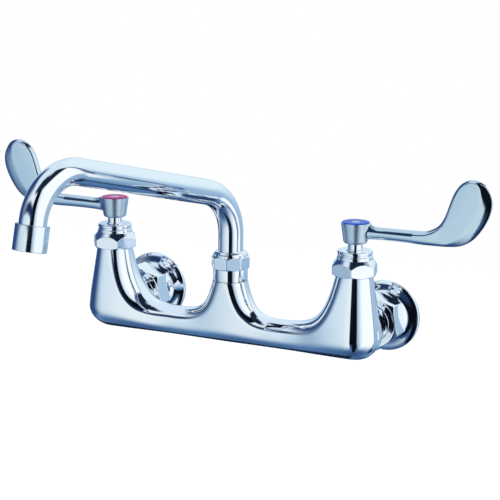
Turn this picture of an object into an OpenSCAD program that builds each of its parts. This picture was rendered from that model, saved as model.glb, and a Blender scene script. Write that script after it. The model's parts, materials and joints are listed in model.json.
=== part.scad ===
// Commercial wall faucet: two quarter-turn valves on 8 inch centres, wrist-blade handles,
// a swinging tube spout and union connections with wall flanges. Millimetres.
// The wall is the plane y = 0, the inlets are at z = 0, and the user stands at -Y.

/* [Layout] */
// Distance between the two inlets
centres = 203.2; // [190:0.1:230]
// Distance from the wall to the axes of the towers
axis_out = 65.8; // [62:0.1:80]

/* [Valve towers] */
// Height of the valve towers above the inlet axis
tower_top = 44.45; // [42:0.05:50]
// Radius of a valve tower under its bonnet
tower_top_r = 13.8; // [13.7:0.1:15]
// Largest radius of a valve tower, at its round foot
foot_r = 20.6; // [19:0.1:23]
// Height of the foot's widest point
foot_z = -1; // [-3:0.1:1]
// Height of the round underside of the foot
foot_drop = 17.8; // [17:0.1:20]
// Radius of the threaded neck inside the bonnet
neck_r = 12.9; // [12.6:0.1:13.2]
// Height of the threaded neck above the tower
neck_h = 6.5; // [5:0.1:7]

/* [Cross bar and outlet tower] */
// Radius of the bar that joins the towers
bar_r = 10.9; // [10:0.1:12]
// Height of the bar's axis
bar_z = -7.9; // [-9:0.1:-6]
// Height of the outlet tower
outlet_top = 29.6; // [27:0.1:34]
// Radius of the outlet tower at its top
outlet_top_r = 13.5; // [13.3:0.1:14.5]
// Length over which a valve tower flares into the bar
valve_flare = 7.3; // [6:0.1:9]
// Length over which the outlet tower flares into the bar
outlet_flare = 5.5; // [4:0.1:7]
// Radius of the waterway in the bar
bar_bore_r = 5; // [4:0.1:6]

/* [Inlet arms and unions] */
// Radius of an inlet arm behind its tower
arm_r = 14; // [13.6:0.1:14.6]
// Widening of an inlet arm towards its tower
arm_flare = 4.6; // [3.5:0.1:5.2]
// Straight stretch of an inlet arm in front of its coupling nut
arm_straight = 6; // [4:0.1:10]
// Distance from the wall to the end of an inlet arm
arm_end = 16; // [15.5:0.1:18]
// Radius of the waterway in an inlet arm
arm_bore_r = 7; // [5:0.1:7.4]
// Width across the flats of a coupling nut
nut_af = 38; // [36.5:0.1:41]
// Length of a coupling nut
nut_len = 15; // [14:0.1:17]
// Distance from the wall to the back of a coupling nut
nut_back = 11; // [10.8:0.1:12]
// Turn of the coupling nuts about their axis
nut_turn = 40; // [0:1:59]
// Thickness of a coupling nut's front wall
nut_wall = 3.3; // [2.5:0.1:4]
// Radius of the coupling thread
coupling_r = 16.3; // [16:0.1:16.6]
// Thickness of a snap ring
snap_t = 1.4; // [1:0.1:1.8]
// Depth of a snap ring's groove in the inlet arm
snap_groove = 1.2; // [0.8:0.1:1.6]
// Thickness of an inlet washer
inlet_washer_t = 2; // [1.5:0.1:3]
// Mean radius of the 1/2 inch pipe thread in a shank
pipe_r = 9.9; // [9.5:0.1:10.6]
// Depth of the pipe thread in a shank
pipe_depth = 10.5; // [8:0.1:11]

/* [Wall flanges] */
// Outer radius of a flange
flange_r = 27.4; // [25:0.1:32]
// Depth of a flange from the wall to its nose
flange_depth = 10.6; // [9:0.1:10.7]
// Height of a flange's straight rim
rim_h = 3; // [2:0.1:4]
// Wall of a flange
flange_wall = 1.4; // [1:0.1:2]

/* [Bonnets] */
// Width across the flats of a bonnet's hexagon
bonnet_af = 31; // [30:0.1:34]
// Height of the hexagon with its crown
bonnet_hex_h = 12.6; // [12:0.1:14]
// Height of the crown's cone, from the corners to the stage
bonnet_crown_h = 6.6; // [5:0.1:8]
// Radius of the round stage
stage_r = 13; // [12:0.1:14]
// Height of the round stage
stage_h = 6.1; // [5.6:0.1:9]
// Taper of the round stage above and below its groove
stage_taper = 0.3; // [0:0.05:0.6]
// Depth of the groove round the stage
stage_groove = 0.45; // [0.2:0.05:0.8]
// Turn of the hot bonnet's hexagon
hot_bonnet_turn = 52.5; // [0:0.5:59]
// Turn of the cold bonnet's hexagon
cold_bonnet_turn = 44; // [0:0.5:59]

/* [Cartridges] */
// Radius of the cartridge bore in a tower
bore_r = 11; // [10.6:0.1:11.4]
// Height of the seat at the bottom of the bore
seat_z = 14; // [13:0.1:16]
// Radius of the water port in the seat
port_r = 4.8; // [3.5:0.1:5.4]
// Radius of the ceramic discs' chamber
chamber_r = 8.8; // [8.4:0.1:9.2]
// Thickness of the seat seal
seal_t = 4; // [3:0.1:4.4]
// Thickness of the fixed disc
fixed_disc_t = 3.5; // [3:0.1:4]
// Thickness of the turning disc
turning_disc_t = 3.4; // [3:0.1:4]
// Thickness of the stem's drive plate
drive_t = 3.2; // [2.5:0.1:4]
// Thickness of the bonnet washer
bonnet_washer_t = 0.8; // [0.6:0.1:1.2]
// Thickness of the cartridge's flange
cartridge_flange_t = 2; // [1.6:0.1:2.4]
// Radius of the cartridge's upper neck
cartridge_neck_r = 8.5; // [8:0.1:9]

/* [Stems] */
// Radius of a stem
stem_r = 5.4; // [4.8:0.1:5.8]
// Width of the stem's square drive
square_w = 6.8; // [6:0.1:7]
// Length of the stem's square drive
square_len = 7.6; // [7:0.1:8]
// Radius of the handle screw
screw_r = 1.95; // [1.5:0.05:2.1]
// Radius of the screw's head
screw_head_r = 3.7; // [3:0.1:3.9]
// Height of the screw's head
screw_head_h = 2; // [1.6:0.1:2.2]

/* [Blade handles] */
// Height of the hub's lower edge
hub_z = 68; // [67.4:0.1:72]
// Height of the hub
hub_h = 15.6; // [15:0.1:17]
// Radius of the hub at its top
hub_top_r = 10.8; // [10.6:0.1:12]
// Radius of the hub above its rounded lower edge
hub_low_r = 8.9; // [8.6:0.1:10]
// Reach of the wrist blade from the hub's axis
blade_reach = 103.1; // [95:0.1:115]
// Height of the wrist blade above the hub's lower edge
blade_height = 54.2; // [48:0.1:62]
// Thickness of the handle's arm
arm_t = 7.6; // [6:0.1:9]
// Thickness of the blade
blade_t = 4.6; // [3:0.1:6]
// Radius of the index ring
index_r = 9.75; // [9:0.05:10]
// Thickness of the index ring
index_t = 1.7; // [1.4:0.1:2.2]
// Radius of the index ring's middle hole
index_hole_r = 3.5; // [3:0.1:3.9]

/* [Spout mounting] */
// Radius of the plain ring on the outlet tower
ring_r = 13.2; // [13:0.1:14]
// Height of the plain ring
ring_h = 9; // [8:0.1:11]
// Width across the flats of the octagonal spout nut
spout_nut_af = 27.4; // [26.8:0.1:30]
// Height of the spout nut's flats
spout_nut_h = 9.8; // [9.4:0.1:11]
// Height of the spout nut's domed shoulder
shoulder_h = 3.8; // [3:0.1:5]
// Turn of the spout nut's octagon
spout_nut_turn = 14.4; // [0:0.1:44]
// Radius of the thread under the spout nut
spout_thread_r = 11.7; // [11.3:0.1:11.9]
// Height of the neck with that thread
spout_neck_h = 6.4; // [5.5:0.1:7]
// Depth of the adapter's spigot in the tower
adapter_depth = 9.6; // [8:0.1:11]
// Thickness of the thrust washer
thrust_t = 0.8; // [0.5:0.1:1]
// Thickness of the spigot's collar
collar_t = 2; // [1.5:0.1:2.1]
// Length of the spigot below its collar
spigot_len = 14; // [12:0.1:15]

/* [Spout] */
// Outer radius of the spout tube
tube_r = 9.525; // [9:0.005:9.8]
// Wall of the spout tube
tube_wall = 1; // [0.8:0.05:1.5]
// Height at which the stem of the spout starts to bend
stem_top = 64.85; // [60:0.05:80]
// Bend radius above the stem
bend_1 = 36.5; // [30:0.1:45]
// Rise of the spout's arm above level
arm_rise = 13.1; // [5:0.1:20]
// Straight length of the spout's arm
arm_len = 135.5; // [100:0.5:170]
// Bend radius above the outlet
bend_2 = 35.1; // [30:0.1:45]
// Lean of the outlet away from the wall
outlet_lean = 11; // [0:0.5:20]
// Straight length above the outlet sleeve
outlet_straight = 2.7; // [2:0.1:10]
// Swing of the spout towards the hot side, as stored
swing = 12.8; // [-30:0.1:30]

/* [Outlet] */
// Outer radius of the outlet sleeve
sleeve_r = 11.7; // [11.4:0.1:12.5]
// Length of the outlet sleeve
sleeve_len = 17.6; // [16:0.1:22]
// Depth of the tube in the sleeve
socket_depth = 6; // [5:0.1:7]
// Radius of the thread in the sleeve's mouth
mouth_r = 10.3; // [10:0.05:10.4]
// Length of the flow insert
insert_len = 9; // [7:0.1:9.5]
// Thickness of the outlet washer
outlet_washer_t = 1.2; // [1:0.1:1.5]
// Radius of one hole in the flow insert
jet_r = 0.8; // [0.5:0.05:0.9]
// Distance between holes in the flow insert
jet_pitch = 3; // [2.5:0.1:3.2]

/* [Clearances] */
// Radial clearance of a turning fit
run_gap = 0.05; // [0.03:0.01:0.09]
// Radial clearance of a thread or a plug
fit_gap = 0.1; // [0.05:0.01:0.2]
// Gap between parts that pass each other
free_gap = 0.3; // [0.25:0.05:0.4]

/* [Hidden] */
SIDES = ["hot", "cold"];
$fn = 96;

chrome = [0.78, 0.84, 0.90];
brass = [0.80, 0.68, 0.38];
rubber = [0.12, 0.12, 0.13];
ceramic = [0.93, 0.93, 0.90];
steel = [0.62, 0.64, 0.67];
red = [0.80, 0.08, 0.38];
blue = [0.10, 0.22, 0.80];

// Heights in a valve tower, from the seat up
disc_z = seat_z + seal_t;
turning_z = disc_z + fixed_disc_t + run_gap;
drive_z = turning_z + turning_disc_t;
chamber_top = drive_z + drive_t + free_gap;
neck_top = tower_top + neck_h;
cartridge_flange_z = neck_top + bonnet_washer_t;
bonnet_floor = cartridge_flange_z + cartridge_flange_t;
stage_z = tower_top + bonnet_hex_h;
bonnet_top = stage_z + stage_h;
cartridge_top = bonnet_top - 2.6;
stem_collar_h = 0.9;
stem_collar_r = stem_r + fit_gap + 0.8;
gallery_r = bore_r + 1.2;
gallery_h = 8;
tang_h = 1.5;
tang_w = 3;

// Heights in a handle, from the hub's lower edge up
socket_z = hub_z + 1.6;
stem_end = socket_z + square_len;
socket_top = stem_end + free_gap;
screw_seat = socket_top + 0.9;
index_seat = hub_z + hub_h - 1;
cap_lip_z = screw_seat + screw_head_h;
cap_r = index_hole_r - run_gap;
cap_lip_r = screw_head_r + 0.4;

// Distances from the wall in a union
nut_front = nut_back + nut_len;
nut_shoulder = nut_front - nut_wall;
shank_face = arm_end - inlet_washer_t;
shank_back = 0.5;
nut_r = nut_af / 2 / cos(30);

// Heights in the spout's mounting, from the tower up
ring_top = outlet_top + ring_h;
adapter_top = ring_top + spout_neck_h;
collar_z = adapter_top + thrust_t + fit_gap;
tube_z = collar_z + collar_t;
spigot_r = tube_r;
spigot_bore_r = spigot_r - 2.7;
spigot_hole_r = spigot_r + run_gap;
collar_r = spout_thread_r - free_gap;
spout_nut_r = spout_nut_af / 2 / cos(22.5);
nut_top = ring_top + spout_nut_h;
seal_groove_r = spigot_r - 1.3;
seal_groove_h = 1.8;
seal_pitch = 4.5;

// The spout's centre line in its own upright plane: x outward, z up
bend_thinning = 0.05;
bend_lap = 0.2;
turn_1 = 90 - arm_rise;
arm_start = [bend_1 - bend_1 * sin(arm_rise), stem_top + bend_1 * cos(arm_rise)];
arm_stop = arm_start + arm_len * [cos(arm_rise), sin(arm_rise)];
bend_2_centre = arm_stop + bend_2 * [sin(arm_rise), -cos(arm_rise)];
turn_2 = 90 + arm_rise - outlet_lean;
bend_2_end = bend_2_centre + bend_2 * [cos(outlet_lean), sin(outlet_lean)];
outlet_dir = [sin(outlet_lean), -cos(outlet_lean)];
sleeve_top = bend_2_end + outlet_straight * outlet_dir;

function side_x(side) = (side == "hot" ? -1 : 1) * centres / 2;

// Places a valve's parts; the cold side's blade points along +X and the hot side's along -X
module valve(side) {
    translate([side_x(side), -axis_out, 0])
        mirror([side == "hot" ? 1 : 0, 0, 0])
            children();
}

// Places an inlet's parts with +Z of the child pointing from the wall to the user
module inlet(side) {
    translate([side_x(side), 0, 0]) rotate([90, 0, 0]) children();
}

module spout_place() {
    translate([0, -axis_out, 0]) children();
}

// Turns a shape drawn in the spout's upright plane to where the spout is stored
module spout_swing() {
    spout_place() rotate([0, 0, -90 - swing]) children();
}

// Places the outlet's parts with +Z of the child pointing out of the mouth
module outlet() {
    spout_swing()
        translate([sleeve_top[0], 0, sleeve_top[1]])
            rotate([0, 180 - outlet_lean, 0])
                children();
}

module tube(outer, inner, low, high) {
    difference() {
        translate([0, 0, low]) cylinder(r = outer, h = high - low);
        translate([0, 0, low - 1]) cylinder(r = inner, h = high - low + 2);
    }
}

module disc(r, low, high) {
    translate([0, 0, low]) cylinder(r = r, h = high - low);
}

// Rubber ring of round section
module o_ring(inner, outer, z) {
    section = (outer - inner) / 2;
    translate([0, 0, z])
        rotate_extrude()
            translate([inner + section, 0]) circle(r = section, $fn = 32);
}

// Skin over rings of points, all with the same count, closed at both ends
module loft(rings) {
    n = len(rings[0]);
    m = len(rings);
    sides = [
        for (i = [0 : m - 2], j = [0 : n - 1])
            each [
                [i * n + j, i * n + (j + 1) % n, (i + 1) * n + (j + 1) % n],
                [i * n + j, (i + 1) * n + (j + 1) % n, (i + 1) * n + j]
            ]
    ];
    start = [for (j = [1 : n - 2]) [0, j + 1, j]];
    finish = [for (j = [1 : n - 2]) [(m - 1) * n, (m - 1) * n + j, (m - 1) * n + j + 1]];
    polyhedron(points = [for (r = rings) each r], faces = concat(sides, start, finish));
}

// Body casting: height of the cross bar's upper edge at a distance from a tower's axis
function flared(d, r, rise, length) = rise * exp(-max(d - r, 0) / length);

function bar_top(x) =
    bar_z + bar_r
    + max(
        flared(abs(x), outlet_top_r, outlet_top - 1.5 - bar_z - bar_r, outlet_flare),
        flared(centres / 2 - abs(x), tower_top_r, tower_top - 4 - bar_z - bar_r, valve_flare)
    );

function bar_half_width(x) =
    bar_r
    + max(
        flared(abs(x), outlet_top_r, outlet_top_r - bar_r - 0.4, outlet_flare),
        flared(centres / 2 - abs(x), tower_top_r, foot_r - bar_r - 2.6, valve_flare * 1.4)
    );

bar_sides = 28;
valve_stations = [2, 6, 10, 13.8, 15.5, 17.5, 20, 23, 27, 32, 38, 46];
outlet_stations = [30, 24, 19.5, 16.5, 14.8, 13.5, 9, 4];
half_stations = concat([for (d = valve_stations) -centres / 2 + d], [for (d = outlet_stations) -d]);
bar_stations = concat(
    half_stations,
    [for (i = [len(half_stations) - 1 : -1 : 0]) -half_stations[i]]
);

// Loft along the bar: upright ovals whose upper edge climbs the towers
module cross_bar() {
    low = bar_z - bar_r;
    loft([
        for (x = bar_stations)
            let (top = bar_top(x), w = bar_half_width(x))
                [
                    for (j = [0 : bar_sides - 1])
                        let (a = -360 * j / bar_sides)
                            [x, -axis_out + w * cos(a), (top + low) / 2 + (top - low) / 2 * sin(a)]
                ]
    ]);
}

// Revolved tower with its round foot
module valve_tower() {
    taper = (foot_r - tower_top_r) / (tower_top - foot_z);
    start = atan(taper * foot_drop / foot_r);
    rotate_extrude()
        polygon(concat(
            [
                for (i = [0 : 14])
                    let (a = -90 + (90 + start) * i / 14)
                        [foot_r * cos(a), foot_z + foot_drop * sin(a)]
            ],
            [[tower_top_r, tower_top], [neck_r, tower_top], [neck_r, neck_top], [0, neck_top]]
        ));
}

module outlet_tower() {
    rotate_extrude()
        polygon([
            [0, bar_z], [outlet_top_r - 0.6, bar_z], [outlet_top_r + 0.3, outlet_top / 3],
            [outlet_top_r, outlet_top], [0, outlet_top]
        ]);
}

// Revolved inlet arm that widens into the foot of its tower
module inlet_arm() {
    start = nut_front + arm_straight;
    finish = axis_out - 5;
    rotate_extrude()
        polygon(concat(
            [[0, arm_end], [arm_r, arm_end]],
            [
                for (i = [0 : 10])
                    let (t = i / 10)
                        [arm_r + arm_flare * t * t * (3 - 2 * t), start + (finish - start) * t]
            ],
            [[0, finish]]
        ));
}

module valve_bores() {
    disc(bore_r, seat_z, neck_top + 1);
    disc(gallery_r, turning_z - 1, turning_z - 1 + gallery_h);
    disc(port_r, 0, seat_z + 1);
    // Passage from the gallery down to the bar
    passage_r = 3.2;
    translate([-gallery_r - 0.6, 0, bar_z]) cylinder(r = passage_r, h = turning_z + 4 - bar_z);
}

module body_casting() {
    bar_bore_end = centres / 2 - gallery_r - 0.6;
    color(chrome)
        difference() {
            union() {
                cross_bar();
                for (side = SIDES) {
                    valve(side) valve_tower();
                    inlet(side) inlet_arm();
                }
                spout_place() outlet_tower();
            }
            for (side = SIDES) {
                valve(side) valve_bores();
                inlet(side) disc(arm_bore_r, arm_end - 1, axis_out + arm_bore_r);
                inlet(side) tube(arm_r + 1, arm_r - snap_groove, nut_shoulder - snap_t, nut_shoulder);
            }
            translate([-bar_bore_end, -axis_out, bar_z])
                rotate([0, 90, 0])
                    cylinder(r = bar_bore_r, h = 2 * bar_bore_end);
            spout_place() disc(arm_bore_r, bar_z, outlet_top + 1);
            spout_place() disc(spout_thread_r - 1.2, outlet_top - adapter_depth, outlet_top + 1);
        }
}

// Hexagonal cap nut: crowned flats, then a grooved round stage
module bonnet(side, turn) {
    hex_r = bonnet_af / 2 / cos(30);
    half_af = bonnet_af / 2;
    groove_z = stage_z + stage_h * 0.5;
    color(chrome)
        valve(side)
            difference() {
                union() {
                    rotate([0, 0, turn])
                        intersection() {
                            translate([0, 0, tower_top])
                                cylinder(r = hex_r, h = bonnet_hex_h, $fn = 6);
                            rotate_extrude()
                                polygon([
                                    [0, tower_top], [half_af - 0.2, tower_top],
                                    [hex_r + 0.1, tower_top + 2],
                                    [hex_r + 0.1, stage_z - bonnet_crown_h],
                                    [stage_r + stage_taper, stage_z], [0, stage_z]
                                ]);
                        }
                    rotate_extrude()
                        polygon([
                            [0, tower_top + 2], [stage_r + stage_taper, tower_top + 2],
                            [stage_r + stage_taper, stage_z], [stage_r, groove_z - 1.1],
                            [stage_r - stage_groove, groove_z - 0.7],
                            [stage_r - stage_groove, groove_z + 0.7], [stage_r, groove_z + 1.1],
                            [stage_r - stage_taper, bonnet_top - 0.7],
                            [stage_r - stage_taper - 0.5, bonnet_top], [0, bonnet_top]
                        ]);
                    disc(stem_collar_r, bonnet_top - 1, bonnet_top + stem_collar_h);
                }
                disc(neck_r + fit_gap, tower_top - 1, bonnet_floor);
                disc(cartridge_neck_r + fit_gap, tower_top, cartridge_top + free_gap);
                disc(stem_r + run_gap, tower_top, bonnet_top + 3);
            }
}
module hot_bonnet() { bonnet("hot", hot_bonnet_turn); }
module cold_bonnet() { bonnet("cold", cold_bonnet_turn); }

// Brass housing: disc chamber with side windows, long stem guide, clamped flange
module cartridge(side) {
    window_w = 8;
    window_h = 4;
    color(brass)
        valve(side)
            difference() {
                union() {
                    disc(bore_r - fit_gap, seat_z + 1, cartridge_flange_z + 0.5);
                    disc(neck_r - 0.2, cartridge_flange_z, bonnet_floor);
                    disc(cartridge_neck_r, bonnet_floor - 1, cartridge_top);
                }
                disc(chamber_r, seat_z, chamber_top);
                disc(stem_r + run_gap, seat_z, cartridge_top + 1);
                translate([-bore_r - 2, -window_w / 2, turning_z + 0.4])
                    cube([2 * bore_r + 4, window_w, window_h]);
            }
}
module hot_cartridge() { cartridge("hot"); }
module cold_cartridge() { cartridge("cold"); }

// Fixed ceramic disc with two round ports
module seat_disc(side) {
    color(ceramic)
        valve(side)
            difference() {
                disc(chamber_r - fit_gap, disc_z, disc_z + fixed_disc_t);
                for (s = [-1, 1])
                    translate([s * chamber_r / 2, 0, disc_z - 1])
                        cylinder(r = chamber_r * 0.27, h = fixed_disc_t + 2);
            }
}
module hot_seat_disc() { seat_disc("hot"); }
module cold_seat_disc() { seat_disc("cold"); }

module seat_seal(side) {
    color(rubber) valve(side) tube(chamber_r - fit_gap, port_r + 0.6, seat_z, disc_z);
}
module hot_seat_seal() { seat_seal("hot"); }
module cold_seat_seal() { seat_seal("cold"); }

module bonnet_washer(side) {
    color(rubber) valve(side) tube(neck_r - 0.2, bore_r + fit_gap, neck_top, cartridge_flange_z);
}
module hot_bonnet_washer() { bonnet_washer("hot"); }
module cold_bonnet_washer() { bonnet_washer("cold"); }

// Turned stem: drive plate with a tang, guided shaft with a seal groove, square drive end
module stem(side) {
    groove_z = (chamber_top + cartridge_top) / 2;
    color(brass)
        valve(side)
            difference() {
                union() {
                    disc(stem_r, drive_z, socket_z);
                    disc(chamber_r - free_gap, drive_z, drive_z + drive_t);
                    translate([-chamber_r * 0.6, -tang_w / 2, drive_z - tang_h])
                        cube([chamber_r * 1.2, tang_w, tang_h + 1]);
                    translate([-square_w / 2, -square_w / 2, socket_z - 1])
                        cube([square_w, square_w, square_len + 1]);
                }
                tube(stem_r + 1, stem_r - 1.2, groove_z - 0.8, groove_z + 0.8);
                disc(screw_r + fit_gap, socket_z - 6, stem_end + 1);
            }
}
module hot_stem() { stem("hot"); }
module cold_stem() { stem("cold"); }

module stem_seal(side) {
    color(rubber) valve(side) o_ring(stem_r - 1.2 + run_gap, stem_r, (chamber_top + cartridge_top) / 2);
}
module hot_stem_seal() { stem_seal("hot"); }
module cold_stem_seal() { stem_seal("cold"); }

// Ceramic disc that opens a sector port and takes the stem's tang
module turning_disc(side) {
    color(ceramic)
        valve(side)
            difference() {
                disc(chamber_r - free_gap, turning_z, drive_z);
                translate([-chamber_r * 0.6 - fit_gap, -tang_w / 2 - fit_gap, drive_z - tang_h])
                    cube([chamber_r * 1.2 + 2 * fit_gap, tang_w + 2 * fit_gap, tang_h + 1]);
                for (s = [-1, 1])
                    translate([0, s * chamber_r / 2, turning_z - 1])
                        cylinder(r = chamber_r * 0.27, h = turning_disc_t + 2);
            }
}
module hot_turning_disc() { turning_disc("hot"); }
module cold_turning_disc() { turning_disc("cold"); }

// Blade handle, seen from the user: the inner and the outer edge of the arm and blade, as
// distance from the hub's axis and height above the hub's lower edge
blade_inner = [
    [4, 16], [11, 15.3], [17, 13.7], [26, 13.8], [40, 13.9], [52, 14.3], [58.5, 16.2], [64, 20],
    [67.9, 26.8], [70.8, 35.4], [74, 43.8], [78.6, 50.3], [84, 53.6], [87.5, 54.2]
];
blade_outer = [
    [4, 4], [11, 4.2], [17, 4.6], [26, 4.8], [40, 4.7], [52, 4.4], [61, 4.5], [71, 4.8],
    [80.5, 6.4], [89.5, 11.8], [97.4, 22], [102.2, 32.4], [102, 43.6], [96.5, 51.2]
];
blade_steps = 2;
blade_sides = 20;
blade_fit = [blade_reach / 103.1, blade_height / 54.2];

function spline(p, i, t) =
    let (
        a = p[max(i - 1, 0)],
        b = p[i],
        c = p[i + 1],
        d = p[min(i + 2, len(p) - 1)]
    )
    (2 * b + (c - a) * t + (2 * a - 5 * b + 4 * c - d) * t * t + (3 * b - 3 * c + d - a) * t * t * t) / 2;

function along(p, u) =
    let (i = min(floor(u), len(p) - 2))
    spline(p, i, u - i);

// Half thickness: full at the arm, thin over the blade, closing at the tip
function half_thickness(u) =
    let (
        last = len(blade_inner) - 1,
        blend = min(max((u - 3.5) / 5, 0), 1),
        body = arm_t / 2 + (blade_t - arm_t) / 2 * blend * blend * (3 - 2 * blend)
    )
    body * sqrt(1 - 0.75 * pow(max(u - last + 3, 0) / 3, 3));

module blade() {
    last = len(blade_inner) - 1;
    loft([
        for (k = [0 : last * blade_steps])
            let (
                u = k / blade_steps,
                p = along(blade_inner, u),
                q = along(blade_outer, u),
                mid = (p + q) / 2,
                half = (p - q) / 2,
                t = half_thickness(u)
            )
            [
                for (j = [0 : blade_sides - 1])
                    let (
                        a = 360 * j / blade_sides,
                        s = mid + half * cos(a)
                    )
                    [
                        s[0] * blade_fit[0],
                        t * sign(sin(a)) * pow(abs(sin(a)), 0.8),
                        hub_z + s[1] * blade_fit[1]
                    ]
            ]
    ]);
}

module blade_handle(side) {
    color(chrome)
        valve(side)
            difference() {
                union() {
                    rotate_extrude()
                        polygon([
                            [0, hub_z], [hub_low_r - 1.9, hub_z], [hub_low_r - 0.7, hub_z + 0.7],
                            [hub_low_r, hub_z + 2.2], [hub_top_r, hub_z + hub_h - 0.4],
                            [hub_top_r - 0.3, hub_z + hub_h], [0, hub_z + hub_h]
                        ]);
                    blade();
                }
                disc(index_r + run_gap, index_seat, index_seat + 5);
                disc(cap_lip_r + fit_gap, screw_seat, index_seat + 1);
                disc(screw_r + fit_gap, socket_top - 1, screw_seat + 1);
                translate([0, 0, (socket_z + socket_top) / 2])
                    cube([square_w + fit_gap, square_w + fit_gap, socket_top - socket_z], center = true);
                disc(stem_r + fit_gap, hub_z - 1, socket_z);
            }
}
module hot_blade_handle() { blade_handle("hot"); }
module cold_blade_handle() { blade_handle("cold"); }

module index_ring(side, tint) {
    top = index_seat + index_t;
    color(tint)
        valve(side)
            rotate_extrude()
                polygon([
                    [index_hole_r, index_seat], [index_r, index_seat], [index_r, top - 0.3],
                    [index_r - 0.3, top], [index_hole_r, top]
                ]);
}
module hot_index_ring() { index_ring("hot", red); }
module cold_index_ring() { index_ring("cold", blue); }

// Bare plug held under the index ring by its lip
module index_cap(side) {
    color(steel)
        valve(side) {
            disc(cap_r, cap_lip_z, index_seat + index_t + 0.1);
            disc(cap_lip_r, cap_lip_z, index_seat);
        }
}
module hot_index_cap() { index_cap("hot"); }
module cold_index_cap() { index_cap("cold"); }

module handle_screw(side) {
    color(steel)
        valve(side)
            difference() {
                union() {
                    disc(screw_head_r, screw_seat, cap_lip_z);
                    disc(screw_r, socket_z - 5, screw_seat + 1);
                }
                translate([0, 0, cap_lip_z - 1.2]) cylinder(r = screw_head_r * 0.5, h = 2, $fn = 6);
            }
}
module hot_handle_screw() { handle_screw("hot"); }
module cold_handle_screw() { handle_screw("cold"); }

// Hexagonal union nut, chamfered at both ends
module coupling_nut(side) {
    chamfer = nut_r - nut_af / 2 + 0.4;
    color(chrome)
        inlet(side)
            difference() {
                intersection() {
                    rotate([0, 0, nut_turn])
                        translate([0, 0, nut_back]) cylinder(r = nut_r, h = nut_len, $fn = 6);
                    rotate_extrude()
                        polygon([
                            [0, nut_back], [nut_r - chamfer, nut_back],
                            [nut_r + 0.1, nut_back + chamfer * 0.7],
                            [nut_r + 0.1, nut_front - chamfer * 0.7],
                            [nut_r - chamfer, nut_front], [0, nut_front]
                        ]);
                }
                disc(coupling_r + fit_gap, nut_back - 1, nut_shoulder);
                disc(arm_r + fit_gap, nut_back, nut_front + 1);
            }
}
module hot_coupling_nut() { coupling_nut("hot"); }
module cold_coupling_nut() { coupling_nut("cold"); }

// Split ring that stops the nut from sliding off the inlet arm
module snap_ring(side) {
    gap_angle = 36;
    color(steel)
        inlet(side)
            translate([0, 0, nut_shoulder - snap_t])
                rotate([0, 0, 90 + gap_angle / 2])
                    rotate_extrude(angle = 360 - gap_angle)
                        translate([arm_r - snap_groove + run_gap, 0])
                            square([coupling_r - 0.2 - arm_r + snap_groove - run_gap, snap_t]);
}
module hot_snap_ring() { snap_ring("hot"); }
module cold_snap_ring() { snap_ring("cold"); }

module inlet_washer(side) {
    color(rubber) inlet(side) tube(arm_r - 0.5, arm_bore_r + 0.5, shank_face, arm_end);
}
module hot_inlet_washer() { inlet_washer("hot"); }
module cold_inlet_washer() { inlet_washer("cold"); }

// Threaded shank with the female pipe thread at the wall
module inlet_shank(side) {
    color(brass)
        inlet(side)
            difference() {
                disc(coupling_r, shank_back, shank_face);
                disc(pipe_r, shank_back - 1, shank_back + pipe_depth);
                disc(arm_bore_r, shank_back, shank_face + 1);
            }
}
module hot_inlet_shank() { inlet_shank("hot"); }
module cold_inlet_shank() { inlet_shank("cold"); }

// Domed escutcheon: a straight rim, then a quarter of an oval down to the nose
function dome(r, depth, rim) = [
    for (i = [0 : 10])
        let (a = 90 * i / 10)
            [
                coupling_r + fit_gap + (r - 1.4 - coupling_r - fit_gap) * cos(a),
                rim + (depth - rim) * sin(a)
            ]
];

module wall_flange(side) {
    hole_r = coupling_r + fit_gap;
    inner = flange_r - flange_wall;
    color(chrome)
        inlet(side)
            difference() {
                rotate_extrude()
                    polygon(concat(
                        [[hole_r, 0], [flange_r, 0], [flange_r, rim_h - 0.8], [flange_r - 0.8, rim_h]],
                        dome(flange_r, flange_depth, rim_h + 0.3)
                    ));
                rotate_extrude()
                    polygon(concat(
                        [[0, -1], [inner, -1], [inner, 0]],
                        dome(inner, flange_depth - flange_wall, rim_h - 0.7),
                        [[0, flange_depth - flange_wall]]
                    ));
            }
}
module hot_wall_flange() { wall_flange("hot"); }
module cold_wall_flange() { wall_flange("cold"); }

// Plain ring, spigot into the tower, threaded neck and the bore that the spout turns in
module outlet_adapter() {
    color(chrome)
        spout_place()
            difference() {
                union() {
                    disc(spout_thread_r - 1.2 - fit_gap, outlet_top - adapter_depth, outlet_top + 1);
                    rotate_extrude()
                        polygon([
                            [0, outlet_top], [ring_r - 0.3, outlet_top], [ring_r, outlet_top + 0.3],
                            [ring_r, ring_top], [0, ring_top]
                        ]);
                    disc(spout_thread_r, outlet_top, adapter_top);
                }
                disc(arm_bore_r, outlet_top - adapter_depth - 1, adapter_top + 1);
                disc(spigot_hole_r, collar_z - spigot_len - free_gap, adapter_top + 1);
            }
}

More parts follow.
